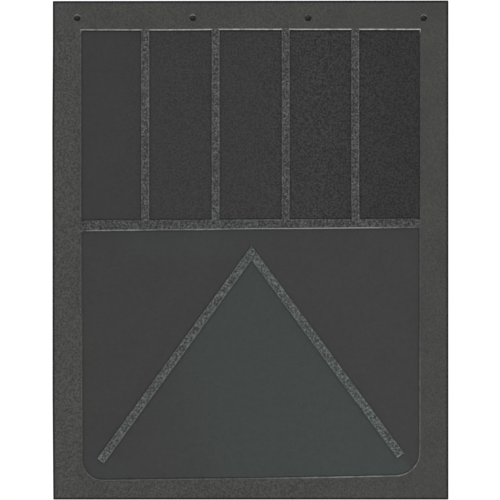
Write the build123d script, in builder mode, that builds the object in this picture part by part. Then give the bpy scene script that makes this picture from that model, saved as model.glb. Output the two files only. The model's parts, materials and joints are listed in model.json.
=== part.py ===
"""Moulded rubber mud flap, 24 in wide, as a laminate of rubber sheets round one fabric ply.

Frame: +X to the right and +Z up, seen from behind the truck. The back of the flap lies on y = 0 and its
patterned face looks along -Y. The origin is the middle of the line of mounting holes, on the back face.

The flap bends along two lines: under the clamped mounting band, and under the cross bar. So each layer
is made in three lengths, with a short full-thickness strip of the same rubber across each bend line.
"""

import os
from math import atan2, degrees, dist, radians, tan

from build123d import *

os.makedirs("parts", exist_ok=True)

# Outline
FLAP_WIDTH = 609.6
FLAP_HEIGHT = 768.0
OUTER_CORNER_R = 1.5

# Mounting holes, in one line below the top edge
HOLE_D = 9.5
HOLE_PITCH = 177.8
HOLE_COUNT = 4
HOLE_DROP = 27.0

# Layers, from the back face forwards
BACK_T = 2.2
FABRIC_T = 0.8
FRONT_T = 3.4
RAISED_T = 3.1
FIELD_T = BACK_T + FABRIC_T + FRONT_T
FULL_T = FIELD_T + RAISED_T

# Raised border and the walls of its pockets
BORDER_W = 43.5
DRAFT = 20.0
WALL_RUN = RAISED_T * tan(radians(DRAFT))
POCKET_W = FLAP_WIDTH - 2 * (BORDER_W + WALL_RUN)

# Upper pocket and its ribs; the cross bar's top edge drops a little towards the left
UPPER_POCKET_TOP = 45.6
BAR_TOP_LEFT = 337.6
BAR_TOP_RIGHT = 334.9
RIB_PITCH = 107.95
RIB_BASE_W = 13.2
RIB_NAMES = ["left_outer_rib", "left_inner_rib", "right_inner_rib", "right_outer_rib"]
RIB_XS = [(i - (len(RIB_NAMES) - 1) / 2) * RIB_PITCH for i in range(len(RIB_NAMES))]

# Lower pocket, slightly askew in the mould: its corners as (x, distance below the top edge)
LOWER_POCKET_CORNERS = [(-260.2, 354.8), (259.8, 349.6), (259.8, 730.0), (-258.8, 738.4)]
LOWER_POCKET_TOP_R = 5.0
LOWER_POCKET_BOTTOM_LEFT_R = 32.0
LOWER_POCKET_BOTTOM_RIGHT_R = 36.0

# Chevron centrelines, as points (x, distance below the top edge)
CHEVRON_W = 13.8
CHEVRON_APEX = (1.5, 387.9)
CHEVRON_LEFT_FOOT = (-231.0, 708.4)
CHEVRON_RIGHT_FOOT = (231.2, 700.1)

# Bend lines: the strips of sheet that are left free to flex
BAND_BOTTOM = 43.5
FLEX_H = 6.0
UPPER_FLEX_BOTTOM = BAND_BOTTOM + FLEX_H
LOWER_FLEX_TOP = 360.0
LOWER_FLEX_BOTTOM = LOWER_FLEX_TOP + FLEX_H

# Planes of the layers: local x is +X, local y is +Z, and the normal looks along -Y
BACK_PLANE = Plane.XZ
FABRIC_PLANE = Plane.XZ.offset(BACK_T)
FRONT_PLANE = Plane.XZ.offset(BACK_T + FABRIC_T)
RAISED_PLANE = Plane.XZ.offset(FIELD_T)


def height(drop):
    """Height of a line that lies this far below the top edge."""
    return HOLE_DROP - drop


def finish(piece, name):
    """Label one finished sub-part and write its STEP file."""
    piece.part.label = name
    export_step(piece.part, f"parts/{name}.step")


def length_of_flap(plane, thickness, top, bottom):
    """Full-width slab between two distances below the top edge, with the flap's own corners rounded."""
    with BuildPart() as slab:
        with BuildSketch(plane) as outline:
            with Locations((0, (height(top) + height(bottom)) / 2)):
                Rectangle(FLAP_WIDTH, bottom - top)
            if top == 0:
                fillet(outline.vertices().group_by(Axis.Y)[-1], OUTER_CORNER_R)
            if bottom == FLAP_HEIGHT:
                fillet(outline.vertices().group_by(Axis.Y)[0], OUTER_CORNER_R)
        extrude(amount=thickness)
    return slab


def band_layer(plane, thickness):
    """One layer of the mounting band, with the row of bolt holes through it."""
    with BuildPart() as layer:
        add(length_of_flap(plane, thickness, 0, BAND_BOTTOM).part)
        with BuildSketch(plane):
            with GridLocations(HOLE_PITCH, 0, HOLE_COUNT, 1):
                Circle(HOLE_D / 2)
        extrude(amount=thickness, mode=Mode.SUBTRACT)
    return layer


def bar_top(x):
    """Height of the cross bar's top edge at this x."""
    share = (x + POCKET_W / 2) / POCKET_W
    return height(BAR_TOP_LEFT + share * (BAR_TOP_RIGHT - BAR_TOP_LEFT))


def upper_pockets():
    """The five panels between the ribs, as the drafted solids that the mould's inserts fill."""
    left_edges = [-POCKET_W / 2] + [x + RIB_BASE_W / 2 for x in RIB_XS]
    right_edges = [x - RIB_BASE_W / 2 for x in RIB_XS] + [POCKET_W / 2]
    top = height(UPPER_POCKET_TOP)
    with BuildPart() as pockets:
        with BuildSketch(RAISED_PLANE):
            for left, right in zip(left_edges, right_edges):
                corners = [(left, top), (left, bar_top(left)), (right, bar_top(right)), (right, top)]
                with BuildLine():
                    Polyline(*corners, close=True)
                make_face()
        extrude(amount=RAISED_T, taper=-DRAFT)
    return pockets


def lower_pocket():
    """The large lower field, as the drafted solid that the mould's insert fills."""
    with BuildPart() as pocket:
        with BuildSketch(RAISED_PLANE) as outline:
            with BuildLine():
                Polyline(*[(x, height(drop)) for x, drop in LOWER_POCKET_CORNERS], close=True)
            make_face()
            fillet(outline.vertices().sort_by(Axis.Y)[0], LOWER_POCKET_BOTTOM_LEFT_R)
            fillet(outline.vertices().sort_by(Axis.X)[-2:].sort_by(Axis.Y)[0], LOWER_POCKET_BOTTOM_RIGHT_R)
            fillet(outline.vertices().sort_by(Axis.Y)[-2:], LOWER_POCKET_TOP_R)
        extrude(amount=RAISED_T, taper=-DRAFT)
    return pocket


def raised_layer(plane, thickness, top, bottom):
    """A length of the flap whose raised layer keeps its border, ribs and bar, with the pockets open."""
    with BuildPart() as layer:
        add(length_of_flap(plane, thickness, top, bottom).part)
        add(UPPER_POCKETS.part, mode=Mode.SUBTRACT)
        add(LOWER_POCKET.part, mode=Mode.SUBTRACT)
    return layer


def cut_from(blank, left, right, far_edge):
    """The part of a raised layer between two values of x, from the bar's top edge to another edge."""
    far = height(far_edge)
    corners = [(left, bar_top(left)), (right, bar_top(right)), (right, far), (left, far)]
    with BuildPart() as piece:
        add(blank.part)
        with BuildSketch(RAISED_PLANE):
            with BuildLine():
                Polyline(*corners, close=True)
            make_face()
        extrude(amount=RAISED_T, mode=Mode.INTERSECT)
    return piece


def side_rail(blank, side):
    """The side of the border along the upper panel, on the left (-1) or the right (1)."""
    inner = side * POCKET_W / 2
    with BuildPart() as rail:
        add(blank.part)
        split(bisect_by=Plane(origin=(inner, 0, 0), z_dir=(side, 0, 0)), keep=Keep.TOP)
    return rail


def chevron_arm(foot, keep):
    """One drafted arm, cut square at its foot and mitred at the apex, on the side of the mitre to keep."""
    apex_point = (CHEVRON_APEX[0], height(CHEVRON_APEX[1]))
    foot_point = (foot[0], height(foot[1]))
    arm_length = dist(apex_point, foot_point)
    lean = degrees(atan2(apex_point[1] - foot_point[1], apex_point[0] - foot_point[0]))
    with BuildPart() as arm:
        with BuildSketch(RAISED_PLANE):
            with Locations(Location(foot_point, lean)):
                Rectangle(arm_length + 2 * CHEVRON_W, CHEVRON_W, align=(Align.MIN, Align.CENTER))
        extrude(amount=RAISED_T, taper=DRAFT)
        split(bisect_by=mitre_plane(), keep=keep)
    return arm


def mitre_plane():
    """Upright plane through the chevron's apex that halves the angle between its arms; faces left."""
    apex = Vector(CHEVRON_APEX[0], 0, height(CHEVRON_APEX[1]))
    to_left = (Vector(CHEVRON_LEFT_FOOT[0], 0, height(CHEVRON_LEFT_FOOT[1])) - apex).normalized()
    to_right = (Vector(CHEVRON_RIGHT_FOOT[0], 0, height(CHEVRON_RIGHT_FOOT[1])) - apex).normalized()
    return Plane(origin=apex, x_dir=(0, 1, 0), z_dir=to_left - to_right)


UPPER_POCKETS = upper_pockets()
LOWER_POCKET = lower_pocket()

# Mounting band: three flat layers and the top of the raised border, all drilled for the bolts
finish(band_layer(BACK_PLANE, BACK_T), "band_back_sheet")
finish(band_layer(FABRIC_PLANE, FABRIC_T), "band_fabric")
finish(band_layer(FRONT_PLANE, FRONT_T), "band_front_sheet")
finish(band_layer(RAISED_PLANE, RAISED_T), "top_border")

# Flexing strips, the whole thickness of the flap
finish(raised_layer(BACK_PLANE, FULL_T, BAND_BOTTOM, UPPER_FLEX_BOTTOM), "upper_flex_strip")
finish(raised_layer(BACK_PLANE, FULL_T, LOWER_FLEX_TOP, LOWER_FLEX_BOTTOM), "lower_flex_strip")

# Upper and lower panels: the flat layers
for name, top, bottom in [
    ("upper", UPPER_FLEX_BOTTOM, LOWER_FLEX_TOP),
    ("lower", LOWER_FLEX_BOTTOM, FLAP_HEIGHT),
]:
    finish(length_of_flap(BACK_PLANE, BACK_T, top, bottom), f"{name}_back_sheet")
    finish(length_of_flap(FABRIC_PLANE, FABRIC_T, top, bottom), f"{name}_fabric")
    finish(length_of_flap(FRONT_PLANE, FRONT_T, top, bottom), f"{name}_front_sheet")

# Upper panel: side rails, ribs and cross bar, cut from one raised layer so that they meet face to face
upper_raised = raised_layer(RAISED_PLANE, RAISED_T, UPPER_FLEX_BOTTOM, LOWER_FLEX_TOP)
finish(side_rail(upper_raised, -1), "left_side_rail")
finish(side_rail(upper_raised, 1), "right_side_rail")
finish(cut_from(upper_raised, -POCKET_W / 2, POCKET_W / 2, LOWER_FLEX_TOP), "cross_bar")
for rib_x, name in zip(RIB_XS, RIB_NAMES):
    finish(cut_from(upper_raised, rib_x - RIB_BASE_W, rib_x + RIB_BASE_W, UPPER_FLEX_BOTTOM), name)

# Lower panel: the U-shaped border and the two arms of the chevron
finish(raised_layer(RAISED_PLANE, RAISED_T, LOWER_FLEX_BOTTOM, FLAP_HEIGHT), "lower_border")
finish(chevron_arm(CHEVRON_LEFT_FOOT, Keep.TOP), "chevron_left_arm")
finish(chevron_arm(CHEVRON_RIGHT_FOOT, Keep.BOTTOM), "chevron_right_arm")
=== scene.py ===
"""The looks of a moulded rubber mud flap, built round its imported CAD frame.

Outlines and heights are in millimetres, in the frame's own axes, and each mesh is turned into metres as it
is made. The patterned face looks along -Y. Every piece of the flap is a closed solid: rings of points climb
its edge from root to rim, and its two flat sides are filled inside the rings.
"""

import json
import math

import bpy
import numpy as np
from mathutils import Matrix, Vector, kdtree
from mathutils.geometry import delaunay_2d_cdt


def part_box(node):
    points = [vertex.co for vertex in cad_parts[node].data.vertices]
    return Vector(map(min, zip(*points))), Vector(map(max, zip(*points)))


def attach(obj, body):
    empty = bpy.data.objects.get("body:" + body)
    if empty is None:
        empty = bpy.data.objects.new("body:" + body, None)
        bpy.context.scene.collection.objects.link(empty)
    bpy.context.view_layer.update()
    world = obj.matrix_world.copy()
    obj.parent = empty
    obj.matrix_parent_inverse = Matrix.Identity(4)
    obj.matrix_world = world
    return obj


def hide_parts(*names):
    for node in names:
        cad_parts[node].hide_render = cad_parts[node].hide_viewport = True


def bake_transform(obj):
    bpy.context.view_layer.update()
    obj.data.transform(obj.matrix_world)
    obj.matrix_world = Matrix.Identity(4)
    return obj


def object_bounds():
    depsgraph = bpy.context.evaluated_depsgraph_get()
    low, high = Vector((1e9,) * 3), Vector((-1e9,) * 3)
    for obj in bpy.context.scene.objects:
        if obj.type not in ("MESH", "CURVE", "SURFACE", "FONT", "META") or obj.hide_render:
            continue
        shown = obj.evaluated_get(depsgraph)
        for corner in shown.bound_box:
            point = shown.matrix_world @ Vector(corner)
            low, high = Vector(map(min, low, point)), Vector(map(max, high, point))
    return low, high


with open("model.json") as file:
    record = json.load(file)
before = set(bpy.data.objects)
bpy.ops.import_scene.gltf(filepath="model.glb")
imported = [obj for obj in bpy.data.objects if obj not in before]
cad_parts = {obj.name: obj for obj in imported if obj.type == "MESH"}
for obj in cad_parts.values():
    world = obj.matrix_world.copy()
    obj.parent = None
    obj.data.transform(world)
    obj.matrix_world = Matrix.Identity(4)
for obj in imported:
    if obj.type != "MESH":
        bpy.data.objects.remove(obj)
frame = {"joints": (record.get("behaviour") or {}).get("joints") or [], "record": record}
cad_low, cad_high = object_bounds()

MM = 0.001
MM_PER_M = 1000


# ---------------------------------------------------------------- sizes, from the frame where it has them


def low(node):
    """Lowest corner of a CAD node, in millimetres."""
    return np.array(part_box(node)[0]) / MM


def high(node):
    """Highest corner of a CAD node, in millimetres."""
    return np.array(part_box(node)[1]) / MM


def joint(name):
    """One of the frame's hinges."""
    return next(found for found in frame["joints"] if found["name"] == name)


X, Y, Z = 0, 1, 2
LEFT, RIGHT = low("top_border")[X], high("top_border")[X]
TOP, BOTTOM = high("top_border")[Z], low("lower_border")[Z]

# Faces of the layers, from the back to the raised face
BACK_Y = high("band_back_sheet")[Y]
PLY_BACK_Y = low("band_back_sheet")[Y]
PLY_FRONT_Y = low("band_fabric")[Y]
FIELD_Y = low("band_front_sheet")[Y]
FACE_Y = low("top_border")[Y]

# How far above a hinge the rubber starts to turn. The pieces of the upper and lower parts meet where the
# lower bend starts, behind the bar.
BEND_ABOVE = 15.0
SEAM = joint("lower_flex")["pos_m"][Z] / MM + BEND_ABOVE

# Upper pocket and its ribs; the bar's top edge slopes a little
POCKET_LEFT, POCKET_RIGHT = high("left_side_rail")[X], low("right_side_rail")[X]
POCKET_TOP = TOP - 45.6
BAR_TOP_LEFT, BAR_TOP_RIGHT = TOP - 337.6, TOP - 334.9
RIBS = ["left_outer_rib", "left_inner_rib", "right_inner_rib", "right_outer_rib"]
RIB_SIDES = [(low(rib)[X], high(rib)[X]) for rib in RIBS]
PANEL_XS = [-216, -108, 0, 108, 216]    # middles of the panels between the ribs

# Lower pocket, clockwise from its top left corner
LOWER_POCKET = [(-260.2, TOP - 354.8), (259.8, TOP - 349.6), (259.8, TOP - 730.0), (-258.8, TOP - 738.4)]
LOWER_POCKET_TOP_R = 5.0
LOWER_POCKET_BOTTOM_LEFT_R = 32.0
LOWER_POCKET_BOTTOM_RIGHT_R = 36.0

# Chevron centrelines
CHEVRON_W = 13.8
APEX = np.array((1.5, TOP - 387.9))
LEFT_FOOT = np.array((-231.0, TOP - 708.4))
RIGHT_FOOT = np.array((231.2, TOP - 700.1))

# Bolt holes
HOLES = next(m for m in frame["record"]["mounts"] if m["name"] == "outer_bolt_holes")["dims"]
HOLE_R = HOLES["hole_r_mm"]
HOLE_SPAN = HOLES["spacing_x_mm"]
HOLE_COUNT = 4
HOLE_XS = [HOLE_SPAN * (i / (HOLE_COUNT - 1) - 0.5) for i in range(HOLE_COUNT)]
HOLE_SIDES = 36

# Edges
CORNER_R = 1.5      # the flap's own corners
DRAFT = 20.0
POCKET_RIM = 1.0
STRIP_RIM = 0.9
CUT_RIM = 0.2
SHEET_RIM = 0.05
BACK_RIM = 0.4
HOLE_LIP = 1.0
BACK_HOLE_LIP = 0.6
RIM_RINGS = 5
SHARP_ANGLE = 48.0  # edges that turn more than this look sharp
ROOT = 0.4          # how far a raised piece is let into the sheet under it
GROOVE = [(0.0, 0.0), (0.5, 0.3), (1.0, 0.3), (1.6, 0.0), (3.0, 0.0)]   # distance from a wall's foot, depth
RIB_OVERLAP = 2.0   # how far a rib runs into the border and the bar
BAR_OVERLAP = 4.0   # how far the bar runs into the side rails
STRIP_PROUD = 0.05  # how far the strips stand above the border
PLY_INSET = 0.3     # how far the ply stops short of the cut edge

# Rings that hold a face flat inside its rim, as distances from the end of the rim
HOLD = [0.5]
EDGE_HOLD = [1.5, 2.3, 3.2, 4.2]

# Relief: height and sizes of the pebbles on the raised strips, and the waves of a moulded face as (height,
# length, direction, phase)
PEBBLE_RISE = 0.55
LARGE_PEBBLE = 2.9
SMALL_PEBBLE = 1.8
RIB_SEED = 10
BAR_SEED = 20
CHEVRON_SEED = 30
WAVES = [(0.10, 128, 0.4, 0.7), (0.07, 67, 1.9, 4.1), (0.05, 41, 2.7, 2.3)]

# How the real sheet isn't quite square: how far its cut left edge leans at shares of its height, and how far
# each rib and the right rail stand off
LEFT_LEAN = [(0.1, 0.5), (0.25, -0.25), (0.5, 0.0), (0.8, 0.1), (1.0, 1.2)]
RIB_SHIFTS = [-0.3, 0.2, 0.3, -0.8]
RIGHT_RAIL_SHIFT = 0.4

# Tones, as factors on the colours. Those of the cut edge are for its wall, its rim and the rings inside it,
# so that a painted shade, a dark line, follows the edge.
CUT_EDGE_SHADE = [0.5, 0.06, 0.06, 0.22, 0.6, 1.0]
PANEL_TONES = [0.88, 0.795, 0.775, 0.73, 0.535]
PANEL_GRAINS = [0.13, 0.62, 0.66, 1.25, 1.1]
LOWER_FIELD_GRAIN = 0.12
RIB_TONES = [1.05, 1.03, 0.99, 0.965]
BAR_TONE = 0.89
LEFT_ARM_TONE = 1.18
RIGHT_ARM_TONE = 1.28

# How pale the bar's lower edge is painted, a painted highlight where it faces down, as (x, level)
BAR_EDGE_HIGHLIGHT = [(-180, 1.2), (-140, 0.5), (-108, 0.5), (-77, 1.1), (-30, 0.75), (50, 2.2), (170, 2.4),
                 (200, 1.1), (230, 0.4)]

# Spacing of the points in a mesh: faces, pebbled faces, hidden undersides and, at most, arcs
COARSE = 6.0
FINE = 0.85
UNDERSIDE = 10.0
ARC_STEP = 2.0
MIN_ARC_PARTS = 4

# Floor, in metres: how far it lies below the flap, and where it ends
FLOOR_DROP = 0.25
FLOOR_LEFT, FLOOR_RIGHT, FLOOR_FRONT, FLOOR_BACK = -3, 3, -3, 2.4

# Dark discs of painted shade in the bolt holes: how deep they stand, and the gap round them
DISC_Y = -2.5
DISC_GAP = 0.05
DISC_SIDES = 24

# Light: how strongly the room lights the flap and how bright it looks to the camera, and the suns as (name,
# way from the flap to the light, strength, softness in degrees)
ROOM_LIGHT = 0.6
ROOM_WALL = 1.1
SUNS = [("key", (0.35, -1.0, -0.9), 1.1, 20), ("overhead", (0.1, -0.1, 1.0), 1.0, 40),
        ("back_fill", (0.3, 1.0, 0.5), 0.8, 60)]

# Camera: focal length and sensor in millimetres, then the width in view and its middle's offset in metres
LENS = 200.0
SENSOR = 36.0
VIEW_WIDTH = 0.7696
VIEW_OFFSET_X = -0.0007
VIEW_OFFSET_Z = 0.0003


# ---------------------------------------------------------------- outlines


class Outline:
    """A closed line through (x, z, radius, kind) corners, where the kind is that of the edge after the
    corner. It always has the same number of points, so that insets of it can be joined ring to ring.
    """

    def __init__(self, corners, step):
        self.corners = np.array([corner[:2] for corner in corners], float)
        self.radii = [corner[2] for corner in corners]
        self.edge_kinds = [corner[3] for corner in corners]
        arc_step = min(step, ARC_STEP)
        self.arc_parts = [max(MIN_ARC_PARTS, math.ceil(abs(turn) * radius / arc_step)) if radius else 0
                          for turn, radius in zip(self.turns(), self.radii)]
        arcs = self.arcs(self.corners, self.radii)
        self.run_parts = [max(1, math.ceil(np.linalg.norm(after[0] - arc[-1]) / step - 1e-6))
                          for arc, after in zip(arcs, arcs[1:] + arcs[:1])]
        self.kinds = [kind for kind, arc, run in zip(self.edge_kinds, self.arc_parts, self.run_parts)
                      for _ in range(arc + run)]
        self.points = self.inset(dict.fromkeys(self.edge_kinds, 0.0))

    def turns(self):
        """The angle turned at each corner, positive to the left."""
        ahead = np.roll(self.corners, -1, 0) - self.corners
        back = np.roll(ahead, 1, 0)
        return np.arctan2(back[:, 0] * ahead[:, 1] - back[:, 1] * ahead[:, 0], (back * ahead).sum(1))

    def inset(self, amounts):
        """The points with each edge moved to its left by its kind's amount, and the corners made again."""
        along = np.roll(self.corners, -1, 0) - self.corners
        along /= np.linalg.norm(along, axis=1)[:, None]
        after = np.stack([-along[:, 1], along[:, 0]], 1)
        before = np.roll(after, 1, 0)
        far_after = np.array([amounts[kind] for kind in self.edge_kinds])
        far_before = np.roll(far_after, 1)
        cross = before[:, 0] * after[:, 1] - before[:, 1] * after[:, 0]
        straight = np.abs(cross) < 1e-4
        cross = np.where(straight, 1, cross)
        move = np.stack([(far_before * after[:, 1] - far_after * before[:, 1]) / cross,
                         (far_after * before[:, 0] - far_before * after[:, 0]) / cross], 1)
        move[straight] = (after * far_after[:, None])[straight]
        shrink = (far_before + far_after) / 2 * np.sign(self.turns())
        radii = [max(radius - less, 0.2 * radius) if radius else 0
                 for radius, less in zip(self.radii, shrink)]
        arcs = self.arcs(self.corners + move, radii)
        points = []
        for arc, following, parts in zip(arcs, arcs[1:] + arcs[:1], self.run_parts):
            points += arc
            points += [arc[-1] + (following[0] - arc[-1]) * i / parts for i in range(1, parts)]
        return np.array(points)

    def arcs(self, corners, radii):
        """The points that round each corner, or the corner itself where it is sharp."""
        found = []
        for i, here in enumerate(corners):
            back = corners[i - 1] - here
            ahead = corners[(i + 1) % len(corners)] - here
            found.append(corner_arc(here, back, ahead, radii[i], self.arc_parts[i]))
        return found


def corner_arc(here, back, ahead, radius, parts):
    """Points of the arc that rounds a corner, given the ways back and ahead from it."""
    if radius == 0:
        return [here]
    back, ahead = back / np.linalg.norm(back), ahead / np.linalg.norm(ahead)
    half = math.acos(np.clip(back @ ahead, -1, 1)) / 2
    centre = here + (back + ahead) / np.linalg.norm(back + ahead) * radius / math.sin(half)
    start = here + back * radius / math.tan(half) - centre
    turn = math.pi - 2 * half
    if back[0] * ahead[1] - back[1] * ahead[0] > 0:
        turn = -turn
    angles = [turn * i / parts for i in range(parts + 1)]
    return [centre + (start[0] * math.cos(a) - start[1] * math.sin(a),
                      start[0] * math.sin(a) + start[1] * math.cos(a)) for a in angles]


def inside(points, loop):
    """Whether each point is inside a closed outline."""
    x, z = points[:, 0], points[:, 1]
    odd = np.zeros(len(points), bool)
    for (x0, z0), (x1, z1) in zip(loop, np.roll(loop, -1, 0)):
        if z0 != z1:
            odd ^= ((z0 > z) != (z1 > z)) & (x < (x1 - x0) * (z - z0) / (z1 - z0) + x0)
    return odd


def bar_top(x):
    """Height of the bar's top edge."""
    return BAR_TOP_LEFT + (x - POCKET_LEFT) / (POCKET_RIGHT - POCKET_LEFT) * (BAR_TOP_RIGHT - BAR_TOP_LEFT)


def wall_at(z, side):
    """Where the lower pocket's left (0) or right (1) wall stands at a height."""
    top, bottom = (LOWER_POCKET[0], LOWER_POCKET[3]) if side == 0 else (LOWER_POCKET[1], LOWER_POCKET[2])
    return top[0] + (bottom[0] - top[0]) * (z - top[1]) / (bottom[1] - top[1])


def pocket_outline():
    """The foot of the lower pocket's wall, anticlockwise."""
    radii = [LOWER_POCKET_TOP_R, LOWER_POCKET_TOP_R, LOWER_POCKET_BOTTOM_RIGHT_R, LOWER_POCKET_BOTTOM_LEFT_R]
    corners = [(x, z, radius, "wall") for (x, z), radius in zip(LOWER_POCKET, radii)]
    return Outline(corners[::-1], COARSE)


def panel_outlines():
    """The feet of the walls round the five panels between the ribs."""
    lefts = [POCKET_LEFT] + [right for _, right in RIB_SIDES]
    rights = [left for left, _ in RIB_SIDES] + [POCKET_RIGHT]
    return [Outline([(a, bar_top(a), 0, "wall"), (b, bar_top(b), 0, "wall"),
                     (b, POCKET_TOP, 0, "wall"), (a, POCKET_TOP, 0, "wall")], COARSE)
            for a, b in zip(lefts, rights)]


def chevron_corners():
    """Outer apex, inner apex, and the outer and inner corner of each foot."""
    to_left = (LEFT_FOOT - APEX) / np.linalg.norm(LEFT_FOOT - APEX)
    to_right = (RIGHT_FOOT - APEX) / np.linalg.norm(RIGHT_FOOT - APEX)
    out_left = np.array((to_left[1], -to_left[0])) * CHEVRON_W / 2
    out_right = np.array((-to_right[1], to_right[0])) * CHEVRON_W / 2
    half = math.acos(np.clip(to_left @ to_right, -1, 1)) / 2
    up = -(to_left + to_right) / np.linalg.norm(to_left + to_right) * CHEVRON_W / 2 / math.sin(half)
    return {"tip": APEX + up, "crotch": APEX - up,
            "left_out": LEFT_FOOT + out_left, "left_in": LEFT_FOOT - out_left,
            "right_out": RIGHT_FOOT + out_right, "right_in": RIGHT_FOOT - out_right}


# ---------------------------------------------------------------- edge profiles


def profile(foot_y, top_y, draft, rim, root=0.0, wall_wear_and_highlight=0.0, rim_wear_and_highlight=0.0, hold=HOLD, tones=None):
    """Rings (inset, y, paleness, tone) up an edge: root, foot, those round the rim, and those that hold the
    face.

    The paleness, painted highlight and wear, changes from the wall's value at the foot to the rim's value
    round the rim. tones has one value for the wall, one for the rim and one for each ring that holds the
    face.
    """
    up = -1 if top_y < foot_y else 1
    run = abs(top_y - foot_y) * math.tan(math.radians(draft))
    turn = math.radians(90 - draft)
    reach = rim * math.tan(turn / 2)
    wall_tone, rim_tone, *hold_tones = tones or [1.0] * (2 + len(hold))
    rings = [(0.0, foot_y - up * root, wall_wear_and_highlight, wall_tone), (0.0, foot_y, wall_wear_and_highlight, wall_tone)]
    last = RIM_RINGS - 1
    for i in range(RIM_RINGS):
        angle = turn * (1 - i / last)
        across = run + reach - rim * math.sin(angle)
        worn_and_lit = wall_wear_and_highlight + (rim_wear_and_highlight - wall_wear_and_highlight) * i / (last - 1) if i < last else 0.0
        rings.append((across, top_y - up * rim * (1 - math.cos(angle)), worn_and_lit, rim_tone))
    return rings + [(run + reach + gap, top_y, 0.0, tone) for gap, tone in zip(hold, hold_tones)]


# ---------------------------------------------------------------- how a value changes with place


def step_up(value, start, end):
    """Smooth step from 0 at start to 1 at end."""
    t = np.clip((value - start) / (end - start), 0, 1)
    return t * t * (3 - 2 * t)


def near(value, middle, reach):
    """1 at a value, falling evenly to 0 at its reach on either side."""
    return np.clip(1 - abs(value - middle) / reach, 0, 1)


def spot(value, middle, reach):
    """1 at a value, falling smoothly to 0 at its reach on either side."""
    return step_up(reach - abs(value - middle), 0, reach)


# ---------------------------------------------------------------- relief and shifts, in millimetres


def swell(x, z):
    """The faint unevenness of a moulded rubber face."""
    return sum(rise * np.sin((x * math.cos(way) + z * math.sin(way)) * 2 * math.pi / length + start)
               for rise, length, way, start in WAVES)


def pebbles(x, z, cell, seed):
    """A field of rounded pebbles, one in each cell of a grid, from 0 between them to 1 on their tops."""
    columns, rows = 97, 89
    table = np.random.default_rng(seed).random((columns, rows, 3))
    home = np.stack([np.floor(x / cell), np.floor(z / cell)], 1).astype(int)
    found = np.zeros(len(x))
    for shift in [(i, j) for i in (-1, 0, 1) for j in (-1, 0, 1)]:
        cells = home + shift
        chance = table[cells[:, 0] % columns, cells[:, 1] % rows]
        centre = (cells + 0.5 + 0.8 * (chance[:, :2] - 0.5)) * cell
        radius = cell * (0.42 + 0.4 * chance[:, 2])
        gap = np.hypot(x - centre[:, 0], z - centre[:, 1]) / radius
        found = np.maximum(found, np.clip(1 - gap * gap, 0, 1) * (0.4 + 0.6 * chance[:, 2]))
    return found


def settle(x, z):
    """How far a point has shifted, in x and in z, because the real sheet isn't moulded and cut quite square.

    The seam stays straight, because its points on either side must meet while it bends.
    """
    cut_left = np.clip((LEFT + 40 - x) / 40, 0, 1)
    lean = cut_left * np.interp((TOP - z) / (TOP - BOTTOM), *zip(*LEFT_LEAN))
    rib_lines = [LEFT, *(side for side, _ in RIB_SIDES), POCKET_RIGHT, RIGHT]
    ribs = np.interp(x, rib_lines, [0, *RIB_SHIFTS, RIGHT_RAIL_SHIFT, 0])
    ribs *= step_up(z, BAR_TOP_LEFT - 10, BAR_TOP_LEFT + 40) * step_up(POCKET_TOP - z, -6, 6)
    lower_left = 0.6 * near(x, POCKET_LEFT, 12) * step_up(TOP - z, 470, 500)
    cut_top = 0.45 * np.clip((z - TOP + 18) / 18, 0, 1) * x / RIGHT
    pocket_top = 0.9 * near(z, POCKET_TOP, 9) * step_up(x, -130, -30)
    under_bar = 0.6 * near(z, SEAM - 4, 4) * spot(x, 10, 90)
    bottom = -0.6 * near(z, TOP - 734, 20) * np.cos((x - 60) * math.pi / 300)
    return lean + ribs + lower_left, cut_top + pocket_top + under_bar + bottom


# ---------------------------------------------------------------- paint: values that the materials read


def field_tone(x, z):
    """Lightness of the recessed fields: the upper panels darken to the right, and painted shade darkens them
    close under the border.
    """
    panels = np.interp(x, PANEL_XS, PANEL_TONES)
    # Painted shade close under the border along the top, stronger to the right
    shade = step_up(z, POCKET_TOP - 3.2, POCKET_TOP - 1.6) * (0.45 + 0.4 * step_up(x, -200, 100))
    lower = 0.93 + 0.09 * (x - LEFT) / (RIGHT - LEFT)
    return lower + step_up(z, BAR_TOP_LEFT - 12, BAR_TOP_RIGHT) * (panels * (1 - shade) - lower)


def groove_shade(x, z):
    """Painted shade in the grooves, darker where light falls less. They show least above the ends of the
    bar, down the lower left wall and along the outer sides of the chevron.
    """
    upper = np.where(z < bar_top(x) + 4, 1.3 - 0.6 * spot(x, 54, 160), 0.92)
    walls = 0.85 + 0.4 * step_up(-x, 253, 257)
    by_chevron = (abs(x) < 246) & (z < APEX[1] + 22) & (z > LEFT_FOOT[1] - 14)
    arms = 1.1 - 0.25 * between_arms(x, z) * (1 - 0.5 * step_up(x, 0, 20))
    return np.where(z > BAR_TOP_LEFT - 8, upper, np.where(by_chevron, arms, walls))


def between_arms(x, z):
    """1 between the chevron's arms and below them, 0 outside."""
    found = np.ones(len(x))
    for foot, turn in ((LEFT_FOOT, 1), (RIGHT_FOOT, -1)):
        way = (foot - APEX) / np.linalg.norm(foot - APEX)
        across = turn * ((z - APEX[1]) * way[0] - (x - APEX[0]) * way[1])
        found *= step_up(across, -5, 5)
    return found


def field_tint(x, z):
    """How green the lower field is: between the chevron's arms, less to the lower left, faintly by the bar,
    and under the left arm's foot.
    """
    arms = between_arms(x, z) * (0.06 + 0.8 * step_up(x + 0.25 * (z - LEFT_FOOT[1]), -160, 10))
    arms *= 1 + 0.16 * step_up(x, -20, 150)
    under_bar = 0.35 * step_up(z, APEX[1] - 20, APEX[1] + 10) * spot(x, -90, 160) * (z < LOWER_POCKET[1][1])
    under_foot = 0.3 * step_up(LEFT_FOOT[1] + 5 - z, 0, 12) * spot(x, LEFT_FOOT[0] + 8, 55)
    return np.maximum(np.maximum(arms, under_bar), under_foot)


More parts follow.
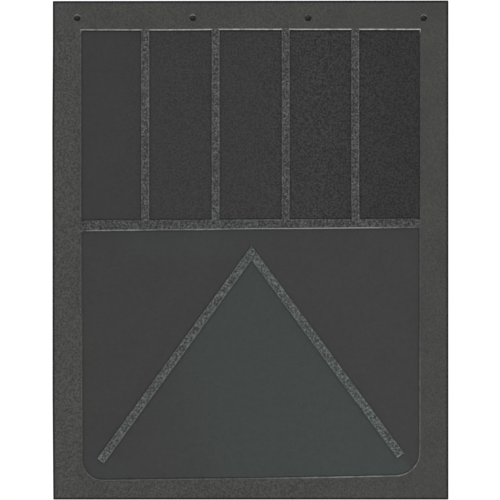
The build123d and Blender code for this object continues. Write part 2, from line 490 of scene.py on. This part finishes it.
def arm_tint(x, z):
    """How green the chevron is: most of all at the top of its left arm and down its right one."""
    down = APEX[1] - z
    left = 0.95 - 0.4 * step_up(down, 10, 60)
    right = 0.7 + 0.35 * step_up(down, 60, 250)
    return left + (right - left) * step_up(x, -8, 12)


def bar_tint(x, z):
    """How green the bar is, in patches."""
    return 0.5 * spot(x, -30, 90) + 0.3 * spot(x, -190, 60)


def border_tone(x, z):
    """Lightness of the border: a little lighter on the left, most of all along its edge there."""
    off_left = step_up(x, -280, -240)
    edge = 0.2 * spot(x, LEFT + 5.5, 4.5) * spot(z, TOP - 225, 110)
    return 1.03 - off_left * (0.05 + 0.045 * step_up(BAR_TOP_LEFT - z, 0, 60)) + edge


def border_tint(x, z):
    """How neutral the border is: along its left rail, most of all higher up."""
    return step_up(-x, 262, 275) * (0.3 + 0.7 * step_up(z, BAR_TOP_LEFT - 60, BAR_TOP_LEFT + 20))


def border_grain(x, z):
    """Strength of the border's grain: finer along the top and on the right."""
    band = step_up(z, POCKET_TOP, POCKET_TOP + 6)
    return (0.8 - 0.28 * band) * (1 - 0.5 * step_up(x, 60, 250))


def field_grain(x, z):
    """Strength of the grain in the recessed fields: strongest in the fourth panel, faint below the bar."""
    panels = np.interp(x, PANEL_XS, PANEL_GRAINS)
    in_panels = step_up(z, BAR_TOP_LEFT - 12, BAR_TOP_RIGHT)
    return LOWER_FIELD_GRAIN + in_panels * (panels - LOWER_FIELD_GRAIN)


def even(x, z):
    """The same everywhere."""
    return np.ones(len(x))


def border_wear_and_highlight(x, z):
    """Where the border's rims are painted pale: a painted highlight along the top of the upper pocket and
    over the holes, where they face down, and paler rims at the lower right.
    """
    top = step_up(z, POCKET_TOP - 4, POCKET_TOP - 1) * (0.5 + 0.5 * step_up(x, -250, 0))
    bottom = 0.15 * step_up(TOP - z, 690, 735)
    lower_down = 0.4 + 0.6 * step_up(TOP - z, 480, 600) + 0.5 * step_up(TOP - z, 690, 715)
    corner = 0.29 * step_up(x, -60, 120) * lower_down * (z < BAR_TOP_LEFT)
    over_hole = 0.75 * step_up(z, 2, HOLE_R + 0.3) * (1 - 0.9 * spot(x, HOLE_XS[2], 40))
    under_hole = 0.12 * step_up(-z, 2, HOLE_R)
    pocket = np.maximum(np.maximum(top, 0.08), np.maximum(bottom, corner))
    return np.where(z > POCKET_TOP + 8, over_hole + under_hole, pocket)


def bar_wear_and_highlight(x, z):
    """Where the bar's rims are painted pale: a painted highlight, uneven along its lower edge, and highlight
    and wear in the middle of its upper one.
    """
    lower = np.interp(x, *zip(*BAR_EDGE_HIGHLIGHT))
    upper = 0.35 + 1.1 * spot(x, 30, 130)
    return step_up(LOWER_POCKET[1][0] - abs(x), 4, 9) * np.where(z > bar_top(x) - 8, upper, lower)


# ---------------------------------------------------------------- meshes


def fill(loops, marks, spacing):
    """Fills a flat face, inside the first loop and outside the others, with triangles that keep to the marks.

    Gives the points added to those of the loops, and the triangles, numbered with the loops' points first.
    """
    lines = [*loops, *(line for line, _ in marks)]
    fixed = np.concatenate(lines)
    points = np.concatenate([fixed, grid(loops, spacing, fixed)])
    edges, first = [], 0
    for line in lines:
        count = len(line)
        edges += [(first + i, first + (i + 1) % count) for i in range(count)]
        first += count
    found = delaunay_2d_cdt([Vector(point) for point in points], edges, [], 1, 1e-5)
    place, faces = np.array([tuple(point) for point in found[0]]), np.array(found[2])
    middle = place[faces].mean(1)
    keep = inside(middle, loops[0])
    for loop in loops[1:]:
        keep &= ~inside(middle, loop)
    source = np.array([min(sources) for sources in found[3]])
    return points[sum(map(len, loops)):], source[faces[keep]]


def grid(loops, spacing, taken):
    """Points on a staggered grid inside the first loop and outside the others, clear of the points taken."""
    start, end = loops[0].min(0), loops[0].max(0)
    rows = []
    for i, z in enumerate(np.arange(start[1], end[1], spacing)):
        xs = np.arange(start[0] + spacing * (0.25 + 0.5 * (i % 2)), end[0], spacing)
        rows.append(np.stack([xs, np.full(len(xs), z)], 1))
    found = np.concatenate(rows)
    keep = inside(found, loops[0])
    for loop in loops[1:]:
        keep &= ~inside(found, loop)
    found = found[keep]
    tree = kdtree.KDTree(len(taken))
    for i, (x, z) in enumerate(taken):
        tree.insert((x, z, 0), i)
    tree.balance()
    clear = [tree.find((x, z, 0))[2] > 0.6 * spacing for x, z in found]
    return found[clear]


def edge_rings(loops, profiles):
    """Rings of points up the edges of a solid, as rows of x, z, y, wear and highlight, tone and share of the
    relief, and the number of the first row of each ring of each loop.
    """
    flush = [(0.0, y, 0.0, tone) for _, y, _, tone in next(iter(profiles.values()))]
    profiles = {**profiles, "seam": flush}
    rows, starts = [], []
    for k in range(len(flush)):
        amounts = {kind: steps[k][0] for kind, steps in profiles.items()}
        starts.append([])
        for loop in loops:
            starts[-1].append(sum(map(len, rows)))
            before = loop.kinds[-1:] + loop.kinds[:-1]
            owners = [b if b != "seam" else a for a, b in zip(before, loop.kinds)]
            levels = np.array([profiles[kind][k][1:] for kind in owners])
            share = np.full((len(owners), 1), float(k > 1))
            rows.append(np.hstack([loop.inset(amounts), levels, share]))
    return np.concatenate(rows), starts


def solid(name, loops, profiles, spacing, marks=(), relief=swell, paints=None, facing=-1):
    """A closed solid. Its loops are outlines, the outer one anticlockwise and the holes clockwise.

    profiles gives the edge of each kind, marks are closed lines drawn into the face, as (line, depth), and
    paints gives the values that the material reads, each worked out from x and z.
    """
    rows, starts = edge_rings(loops, profiles)
    faces = []
    for below, above in zip(starts, starts[1:]):
        for loop, here, there in zip(loops, below, above):
            count = len(loop.points)
            after = [(i + 1) % count for i in range(count)]
            faces += [(here + i, here + j, there + j, there + i) for i, j in enumerate(after)]
    root_loops, top_loops = [[rows[start:start + len(loop.points), :2] for loop, start in zip(loops, ring)]
                             for ring in (starts[0], starts[-1])]

    added, filled = fill(top_loops, marks, spacing)
    faces += (filled + starts[-1][0]).tolist()
    dips = np.zeros(len(added))
    depths = [depth for line, depth in marks for _ in line]
    dips[:len(depths)] = depths
    face_y = rows[-1][2] - facing * dips
    # Painted shade in the grooves, on top of their real depth
    face_groove_shade = np.where(dips > 0, groove_shade(*added.T), 1.0)
    face = np.column_stack([added, face_y, np.zeros(len(added)), face_groove_shade, np.ones(len(added))])

    added, filled = fill(root_loops, [], UNDERSIDE)
    ring_points = sum(map(len, root_loops))
    filled = np.where(filled < ring_points, filled, filled - ring_points + len(rows) + len(face))
    faces += filled[:, ::-1].tolist()
    underside = np.column_stack([added, np.tile([*rows[0][2:5], 0.0], (len(added), 1))])
    if facing > 0:
        faces = [face[::-1] for face in faces]

    x, z, y, wear_and_highlight, tone, share = np.concatenate([rows, face, underside]).T
    shift_x, shift_z = settle(x, z)
    co = np.stack([x + shift_x, y + facing * share * relief(x, z), z + shift_z], 1) * MM
    kept = sorted({i for face in faces for i in face})
    order = {index: i for i, index in enumerate(kept)}
    mesh = bpy.data.meshes.new(name)
    mesh.from_pydata(co[kept].tolist(), [], [[order[i] for i in face] for face in faces])
    mesh.shade_smooth()
    mesh.set_sharp_from_angle(angle=math.radians(SHARP_ANGLE))
    makers = {**dict.fromkeys(("tone", "wear_and_highlight", "grain"), even), **(paints or {})}
    for key, make in makers.items():
        values = make(x, z) * {"tone": tone, "wear_and_highlight": wear_and_highlight}.get(key, 1.0)
        mesh.attributes.new(key, "FLOAT", "POINT").data.foreach_set("value", values[kept].astype(np.float32))
    piece = bpy.data.objects.new(name, mesh)
    bpy.context.scene.collection.objects.link(piece)
    return piece


# ---------------------------------------------------------------- the pieces


def hole_loops():
    """The four bolt holes, clockwise, so that the rubber is on their left."""
    angles = [-2 * math.pi * i / HOLE_SIDES for i in range(HOLE_SIDES)]
    return [Outline([(x + HOLE_R * math.cos(a), HOLE_R * math.sin(a), 0, "hole") for a in angles], COARSE)
            for x in HOLE_XS]


def length_outline(upper, within=0.0):
    """The flap's own outline above or below the seam, anticlockwise, or a line this far within it."""
    left, right, top, bottom = LEFT + within, RIGHT - within, TOP - within, BOTTOM + within
    if upper:
        return Outline([(left, SEAM, 0, "seam"), (right, SEAM, 0, "cut"),
                        (right, top, CORNER_R, "cut"), (left, top, CORNER_R, "cut")], COARSE)
    return Outline([(left, SEAM, 0, "cut"), (left, bottom, CORNER_R, "cut"),
                    (right, bottom, CORNER_R, "cut"), (right, SEAM, 0, "seam")], COARSE)


def foot_lines(loop, outward=False):
    """The lines of the groove that runs along the foot of a wall, inside or outside its outline."""
    way = -1 if outward else 1
    return [(loop.inset(dict.fromkeys(loop.kinds, way * distance)), depth) for distance, depth in GROOVE]


def border(upper):
    """The raised border: the top band and both rails, or the rails and the bottom."""
    edges = {
        # Painted shade darkens the cut edge; painted highlight and wear pale the pocket walls and hole lips.
        "cut": profile(FIELD_Y, FACE_Y, 0, CUT_RIM, ROOT, hold=EDGE_HOLD, tones=CUT_EDGE_SHADE),
        "wall": profile(FIELD_Y, FACE_Y, DRAFT, POCKET_RIM, ROOT, wall_wear_and_highlight=1.0, rim_wear_and_highlight=0.8,
                        hold=EDGE_HOLD),
        "hole": profile(FIELD_Y, FACE_Y, 0, HOLE_LIP, ROOT, rim_wear_and_highlight=1.0, hold=EDGE_HOLD),
    }
    paints = {"tone": border_tone, "grain": border_grain, "wear_and_highlight": border_wear_and_highlight, "tint": border_tint}
    wall_left, wall_right = wall_at(SEAM, 0), wall_at(SEAM, 1)
    if upper:
        corners = [(LEFT, SEAM, 0, "seam"), (wall_left, SEAM, 0, "wall"),
                   (POCKET_LEFT, bar_top(POCKET_LEFT), 0, "wall"), (POCKET_LEFT, POCKET_TOP, 0, "wall"),
                   (POCKET_RIGHT, POCKET_TOP, 0, "wall"), (POCKET_RIGHT, bar_top(POCKET_RIGHT), 0, "wall"),
                   (wall_right, SEAM, 0, "seam"), (RIGHT, SEAM, 0, "cut"),
                   (RIGHT, TOP, CORNER_R, "cut"), (LEFT, TOP, CORNER_R, "cut")]
        return solid("border_upper", [Outline(corners, COARSE)] + hole_loops(), edges, COARSE, paints=paints)
    corners = [(LEFT, BOTTOM, CORNER_R, "cut"), (RIGHT, BOTTOM, CORNER_R, "cut"), (RIGHT, SEAM, 0, "seam"),
               (wall_right, SEAM, 0, "wall"), (*LOWER_POCKET[2], LOWER_POCKET_BOTTOM_RIGHT_R, "wall"),
               (*LOWER_POCKET[3], LOWER_POCKET_BOTTOM_LEFT_R, "wall"), (wall_left, SEAM, 0, "seam"),
               (LEFT, SEAM, 0, "cut")]
    return solid("border_lower", [Outline(corners, COARSE)], edges, COARSE, paints=paints)


def strip(name, corners, seed, tone, tint=None, wear_and_highlight=even):
    """A raised strip with a coarse pebbled face, from its (x, z, radius, kind) corners. Its edges of the kind
    lit carry a painted highlight, paler than its other walls, whose rims are painted pale too, highlight and
    wear.
    """
    top_y = FACE_Y - STRIP_PROUD
    edges = {"wall": profile(FIELD_Y, top_y, DRAFT, STRIP_RIM, ROOT, wall_wear_and_highlight=0.12, rim_wear_and_highlight=0.52),
             "lit": profile(FIELD_Y, top_y, DRAFT, STRIP_RIM, ROOT, wall_wear_and_highlight=0.8, rim_wear_and_highlight=0.8)}

    def grains(x, z):
        return 0.65 * pebbles(x, z, LARGE_PEBBLE, seed) + 0.35 * pebbles(x, z, SMALL_PEBBLE, seed + 1)

    paints = {"peak": grains, "tone": lambda x, z: even(x, z) * tone, "wear_and_highlight": wear_and_highlight}
    if tint:
        paints["tint"] = tint
    return solid(name, [Outline(corners, FINE)], edges, FINE, paints=paints,
                 relief=lambda x, z: swell(x, z) + PEBBLE_RISE * (grains(x, z) - 0.5))


def rib(number):
    """One upright rib, which runs a little way into the border above it and the bar below it."""
    left, right = RIB_SIDES[number]
    top = POCKET_TOP + RIB_OVERLAP
    left_foot, right_foot = bar_top(left) - RIB_OVERLAP, bar_top(right) - RIB_OVERLAP
    corners = [(left, left_foot, 0, "seam"), (right, right_foot, 0, "wall"),
               (right, top, 0, "seam"), (left, top, 0, "wall")]
    name = "rib_" + RIBS[number].removesuffix("_rib")
    return strip(name, corners, RIB_SEED + number, RIB_TONES[number])


def cross_bar():
    """The bar between the upper and lower pockets, with the round upper corners of the lower one, and a
    painted highlight along its lower edge.
    """
    (left, left_z), (right, right_z) = LOWER_POCKET[0], LOWER_POCKET[1]
    far_left, far_right = left - BAR_OVERLAP, right + BAR_OVERLAP
    drop = LOWER_POCKET_TOP_R
    radius = 0.98 * drop
    corners = [(far_left, left_z - drop, 0, "seam"), (left, left_z - drop, 0, "wall"),
               (left, left_z, radius, "lit"), (right, right_z, radius, "wall"),
               (right, right_z - drop, 0, "seam"), (far_right, right_z - drop, 0, "seam"),
               (far_right, bar_top(right), 0, "wall"), (far_left, bar_top(left), 0, "seam")]
    return strip("bar", corners, BAR_SEED, BAR_TONE, bar_tint, bar_wear_and_highlight)


def chevron_arm(side):
    """One arm of the chevron, mitred against the other at the apex, with a painted highlight on its foot's
    end face.
    """
    c = chevron_corners()
    if side == "left":
        corners = [(*c["left_out"], 0, "lit"), (*c["left_in"], 0, "wall"),
                   (*c["crotch"], 0, "seam"), (*c["tip"], 0, "wall")]
        return strip("chevron_left", corners, CHEVRON_SEED, LEFT_ARM_TONE, arm_tint)
    corners = [(*c["right_in"], 0, "lit"), (*c["right_out"], 0, "wall"),
               (*c["tip"], 0, "seam"), (*c["crotch"], 0, "wall")]
    return strip("chevron_right", corners, CHEVRON_SEED, RIGHT_ARM_TONE, arm_tint)


def front_sheet(upper):
    """The sheet under the raised pieces, with a groove drawn along the foot of every wall."""
    if upper:
        marks = [mark for panel in panel_outlines() for mark in foot_lines(panel)]
    else:
        c = chevron_corners()
        corners = [c[k] for k in ("left_out", "left_in", "crotch", "right_in", "right_out", "tip")]
        chevron = Outline([(x, z, 0, "wall") for x, z in corners], COARSE)
        marks = foot_lines(pocket_outline()) + foot_lines(chevron, outward=True)
    edges = dict.fromkeys(("cut", "hole"), profile(PLY_FRONT_Y, FIELD_Y, 0, SHEET_RIM))
    loops = [length_outline(upper)] + (hole_loops() if upper else [])
    paints = {"tone": field_tone, "grain": field_grain, "tint": field_tint}
    return solid("front_sheet_upper" if upper else "front_sheet_lower", loops, edges, COARSE, marks=marks,
                 relief=lambda x, z: 0.5 * swell(x + 31, z), paints=paints)


def ply(upper):
    """The woven ply, which shows as a thin line along the cut edges."""
    edges = dict.fromkeys(("cut", "hole"), profile(PLY_BACK_Y, PLY_FRONT_Y, 0, SHEET_RIM))
    loops = [length_outline(upper, within=PLY_INSET)] + (hole_loops() if upper else [])
    return solid("ply_upper" if upper else "ply_lower", loops, edges, 2 * COARSE, relief=lambda x, z: 0 * x)


def back_sheet(upper):
    """The plain sheet behind the ply, with its visible face to the rear."""
    edges = {"cut": profile(PLY_BACK_Y, BACK_Y, 0, BACK_RIM),
             "hole": profile(PLY_BACK_Y, BACK_Y, 0, BACK_HOLE_LIP)}
    loops = [length_outline(upper)] + (hole_loops() if upper else [])
    return solid("back_sheet_upper" if upper else "back_sheet_lower", loops, edges, COARSE,
                 relief=lambda x, z: 0.5 * swell(x - 57, z) - 0.11, facing=1)


# ---------------------------------------------------------------- materials


WAVE_RADIANS = 20   # what a wave texture of scale 1 turns through in a metre


class Recipe:
    """A material's nodes, with short names for the ones that every rubber here is made of."""

    def __init__(self, name):
        self.material = bpy.data.materials.new(name)
        self.material.use_nodes = True
        self.tree = self.material.node_tree
        self.shader = self.tree.nodes["Principled BSDF"]
        self.place = self.node("ShaderNodeTexCoord").outputs["Object"]

    def node(self, kind, inputs=None, **settings):
        """A new node, with values or links for its inputs."""
        made = self.tree.nodes.new(kind)
        for key, value in settings.items():
            setattr(made, key, value)
        for key, value in (inputs or {}).items():
            self.set(made.inputs[key], value)
        return made

    def set(self, socket, value):
        """Links a socket, or gives it a fixed value."""
        if isinstance(value, bpy.types.NodeSocket):
            self.tree.links.new(value, socket)
        else:
            socket.default_value = value

    def noise(self, size, detail=2.0):
        """Cloudy noise with features of about this size in millimetres."""
        inputs = {"Vector": self.place, "Scale": MM_PER_M / size, "Detail": detail}
        return self.node("ShaderNodeTexNoise", inputs).outputs["Fac"]

    def attribute(self, name):
        """A value painted on the mesh."""
        return self.node("ShaderNodeAttribute", attribute_name=name).outputs["Fac"]

    def remap(self, value, start, end, to_start, to_end):
        """A value moved from one range to another."""
        inputs = {"Value": value, "From Min": start, "From Max": end, "To Min": to_start, "To Max": to_end}
        return self.node("ShaderNodeMapRange", inputs).outputs["Result"]

    def maths(self, operation, a, b):
        """One sum."""
        return self.node("ShaderNodeMath", {0: a, 1: b}, operation=operation).outputs["Value"]

    def mix(self, share, a, b):
        """Colour a, with a share of colour b."""
        inputs = {0: share, 6: a, 7: b}
        return self.node("ShaderNodeMix", inputs, data_type="RGBA").outputs[2]

    def scale(self, colour, factor):
        """A colour made lighter or darker."""
        made = self.node("ShaderNodeVectorMath", {0: colour, "Scale": factor}, operation="SCALE")
        return made.outputs["Vector"]

    def bump(self, height, depth, under=None):
        """Bump of this depth in millimetres, on top of any other."""
        inputs = {"Height": height, "Distance": depth * MM}
        if under is not None:
            inputs["Normal"] = under
        return self.node("ShaderNodeBump", inputs).outputs["Normal"]


def rgb(r, g, b):
    """A colour for a node."""
    return (r, g, b, 1.0)


def rubber(name, light, dark, grain, grain_depth, speckle, roughness, worn_and_lit=None, tint=None, peaks=0.0):
    """Moulded rubber: blotches, a grain in millimetres that darkens its hollows, and pale rims of painted
    highlight and wear.
    """
    m = Recipe(name)
    strength = m.attribute("grain")
    colour = m.mix(m.remap(m.noise(55, 3), 0.36, 0.64, 0, 1), rgb(*dark), rgb(*light))
    if tint:
        colour = m.mix(m.attribute("tint"), colour, rgb(*tint))
    fine = m.noise(grain, 2)
    hollow = m.maths("MULTIPLY", m.remap(fine, 0.34, 0.66, -speckle, speckle), strength)
    colour = m.scale(colour, m.maths("ADD", hollow, 1.0))
    if peaks:
        colour = m.scale(colour, m.remap(m.attribute("peak"), 0, 1, 1 - peaks, 1 + peaks))
    colour = m.scale(colour, m.attribute("tone"))
    # Pale rims: painted highlight and wear
    if worn_and_lit:
        patchy = m.remap(m.noise(9, 3), 0.35, 0.6, 0.45, 1)
        colour = m.mix(m.maths("MULTIPLY", m.attribute("wear_and_highlight"), patchy), colour, rgb(*worn_and_lit))
    m.set(m.shader.inputs["Base Color"], colour)
    m.set(m.shader.inputs["Roughness"], m.remap(m.noise(grain * 3, 2), 0.3, 0.7, *roughness))
    m.shader.inputs["Specular IOR Level"].default_value = 0.35
    height = m.maths("MULTIPLY", fine, strength)
    waves = m.bump(m.noise(14, 2), 0.12)
    m.set(m.shader.inputs["Normal"], m.bump(height, grain_depth, waves))
    return m.material


def imprinted_rubber(name, light, dark):
    """The plain back, with the faint print of the cloth that it was pressed against."""
    m = Recipe(name)
    colour = m.mix(m.remap(m.noise(70, 4), 0.35, 0.65, 0, 1), rgb(*dark), rgb(*light))
    m.set(m.shader.inputs["Base Color"], m.scale(colour, m.remap(m.noise(2.2, 3), 0.3, 0.7, 0.85, 1.15)))
    m.set(m.shader.inputs["Roughness"], m.remap(m.noise(30, 3), 0.3, 0.7, 0.5, 0.72))
    m.shader.inputs["Specular IOR Level"].default_value = 0.35
    m.set(m.shader.inputs["Normal"], m.bump(weave(m, 1.9), 0.12, m.bump(m.noise(16, 2), 0.15)))
    return m.material


def woven_ply(name, light, dark):
    """Rubber-coated cloth, seen end on along the cut edges."""
    m = Recipe(name)
    threads = weave(m, 1.2)
    m.set(m.shader.inputs["Base Color"], m.mix(threads, rgb(*dark), rgb(*light)))
    m.set(m.shader.inputs["Roughness"], m.remap(m.noise(3, 2), 0.3, 0.7, 0.75, 0.95))
    m.shader.inputs["Specular IOR Level"].default_value = 0.2
    m.set(m.shader.inputs["Normal"], m.bump(threads, 0.25))
    return m.material


def weave(m, pitch):
    """Plain weave with this pitch in millimetres, from 0 in its gaps to 1 on its threads."""
    scale = 2 * math.pi * MM_PER_M / pitch / WAVE_RADIANS
    inputs = {"Vector": m.place, "Scale": scale, "Distortion": 0.4, "Detail Scale": 10.0}
    waves = [m.node("ShaderNodeTexWave", inputs, bands_direction=way).outputs["Fac"] for way in ("X", "Z")]
    return m.maths("MULTIPLY", *waves)


def plain(name, colour, roughness):
    """Matt paint or card, for the stage."""
    m = Recipe(name)
    tone = m.remap(m.noise(400, 2), 0.3, 0.7, 0.97, 1.0)
    m.set(m.shader.inputs["Base Color"], m.scale(colour, tone))
    m.shader.inputs["Roughness"].default_value = roughness
    return m.material


# The pale rim colours paint highlight and wear.
MATERIALS = {
    "border_rubber": rubber(
        "border_rubber", light=(0.0517, 0.0530, 0.0470), dark=(0.0460, 0.0467, 0.0434),
        grain=2.9, grain_depth=0.22, speckle=0.5, roughness=(0.52, 0.68),
        worn_and_lit=(0.60, 0.60, 0.585), tint=(0.0500, 0.0505, 0.0490)),
    "strip_rubber": rubber(
        "strip_rubber", light=(0.072, 0.074, 0.073), dark=(0.060, 0.062, 0.061),
        grain=2.6, grain_depth=0.25, speckle=0.5, roughness=(0.45, 0.65),
        worn_and_lit=(0.28, 0.285, 0.28), tint=(0.064, 0.077, 0.073), peaks=0.85),
    "front_sheet_rubber": rubber(
        "front_sheet_rubber", light=(0.0348, 0.0348, 0.0348), dark=(0.0332, 0.0332, 0.0332),
        grain=2.9, grain_depth=0.2, speckle=0.6, roughness=(0.55, 0.7), tint=(0.0373, 0.0474, 0.0444)),
    "back_sheet_rubber": imprinted_rubber(
        "back_sheet_rubber", light=(0.055, 0.055, 0.052), dark=(0.044, 0.044, 0.043)),
    "fabric_ply": woven_ply("fabric_ply", light=(0.20, 0.18, 0.14), dark=(0.06, 0.055, 0.045)),
}


def dress(piece, slot, *nodes):
    """Gives a piece the material named by its slot, and hides the CAD nodes that it stands for."""
    piece.data.materials.append(MATERIALS[slot])
    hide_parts(*nodes)


def bend_at(piece):
    """Bakes a piece's placement into its mesh."""
    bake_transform(piece)


def make_flap():
    """Makes every visible piece and hides the CAD nodes that it stands for; only the bar is tied to a CAD
    body, the upper panel's.
    """
    upper = [
        (border(True), "border_rubber",
         ["top_border", "upper_flex_strip", "left_side_rail", "right_side_rail"]),
        *[(rib(i), "strip_rubber", [name]) for i, name in enumerate(RIBS)],
        (front_sheet(True), "front_sheet_rubber", ["band_front_sheet", "upper_front_sheet"]),
        (ply(True), "fabric_ply", ["band_fabric", "upper_fabric"]),
        (back_sheet(True), "back_sheet_rubber", ["band_back_sheet", "upper_back_sheet"]),
    ]
    lower = [
        (border(False), "border_rubber", ["lower_flex_strip", "lower_border"]),
        (chevron_arm("left"), "strip_rubber", ["chevron_left_arm"]),
        (chevron_arm("right"), "strip_rubber", ["chevron_right_arm"]),
        (front_sheet(False), "front_sheet_rubber", ["lower_front_sheet"]),
        (ply(False), "fabric_ply", ["lower_fabric"]),
        (back_sheet(False), "back_sheet_rubber", ["lower_back_sheet"]),
    ]
    for joint_name, pieces in (("upper_flex", upper), ("lower_flex", lower)):
        for piece, slot, nodes in pieces:
            dress(piece, slot, *nodes)
            bend_at(piece)
    bar = cross_bar()
    dress(bar, "strip_rubber", "cross_bar")
    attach(bar, "upper_panel")


# ---------------------------------------------------------------- stage, light and camera


def stage_mesh(name, points, material):
    """One flat face of the stage, from its points in metres."""
    mesh = bpy.data.meshes.new(name)
    mesh.from_pydata(points, [], [list(range(len(points)))])
    mesh.materials.append(material)
    made = bpy.data.objects.new(name, mesh)
    bpy.context.scene.collection.objects.link(made)
    return made


def make_stage():
    """A pale floor under the hanging flap, and a dark grey disc of painted shade in each bolt hole."""
    floor_z = cad_low.z - FLOOR_DROP
    floor_points = [(FLOOR_LEFT, FLOOR_FRONT, floor_z), (FLOOR_RIGHT, FLOOR_FRONT, floor_z),
                    (FLOOR_RIGHT, FLOOR_BACK, floor_z), (FLOOR_LEFT, FLOOR_BACK, floor_z)]
    floor = stage_mesh("floor", floor_points, plain("floor_paint", (0.82, 0.82, 0.81), 0.9))
    floor.visible_shadow = False
    # Dark grey, to paint the shade seen through each hole
    dark = plain("hole_shade", (0.075, 0.075, 0.075), 0.9)
    disc_r = HOLE_R - DISC_GAP
    angles = [2 * math.pi * i / DISC_SIDES for i in range(DISC_SIDES)]
    for i, x in enumerate(HOLE_XS):
        disc = [((x + disc_r * math.cos(a)) * MM, DISC_Y * MM, disc_r * math.sin(a) * MM) for a in angles]
        stage_mesh(f"hole_shade_{i}", disc, dark)


def sun(name, towards, strength, softness):
    """A soft light from far away: towards points from the flap to the light, and softness is in degrees."""
    light = bpy.data.lights.new(name, "SUN")
    light.energy = strength
    light.angle = math.radians(softness)
    made = bpy.data.objects.new(name, light)
    made.rotation_mode = "QUATERNION"
    made.rotation_quaternion = Vector(towards).to_track_quat("Z", "Y")
    bpy.context.scene.collection.objects.link(made)


def make_light():
    """A white room that lights softly, with soft suns in front from below, above, and behind."""
    world = bpy.data.worlds.new("room")
    bpy.context.scene.world = world
    world.use_nodes = True
    tree = world.node_tree
    tree.nodes.clear()
    output = tree.nodes.new("ShaderNodeOutputWorld")
    mix = tree.nodes.new("ShaderNodeMixShader")
    path = tree.nodes.new("ShaderNodeLightPath")
    tree.links.new(path.outputs["Is Camera Ray"], mix.inputs["Fac"])
    for index, (name, strength) in enumerate((("room_light", ROOM_LIGHT), ("room_wall", ROOM_WALL)), 1):
        background = tree.nodes.new("ShaderNodeBackground")
        background.name = name
        background.inputs["Color"].default_value = (1, 1, 1, 1)
        background.inputs["Strength"].default_value = strength
        tree.links.new(background.outputs["Background"], mix.inputs[index])
    tree.links.new(mix.outputs["Shader"], output.inputs["Surface"])
    for name, towards, strength, softness in SUNS:
        sun(name, towards, strength, softness)


def make_camera():
    """Square on to the face, from far off, with the flap filling the frame from top to bottom."""
    data = bpy.data.cameras.new("camera")
    data.lens = LENS
    data.sensor_width = SENSOR
    camera = bpy.data.objects.new("camera", data)
    middle = (cad_low + cad_high) / 2
    distance = VIEW_WIDTH * LENS / SENSOR
    camera.location = (middle.x + VIEW_OFFSET_X, cad_low.y - distance, middle.z + VIEW_OFFSET_Z)
    camera.rotation_euler = (math.radians(90), 0, 0)
    bpy.context.scene.collection.objects.link(camera)
    bpy.context.scene.camera = camera


make_flap()
make_stage()
make_light()
make_camera()
bpy.context.scene.view_settings.view_transform = "Standard"
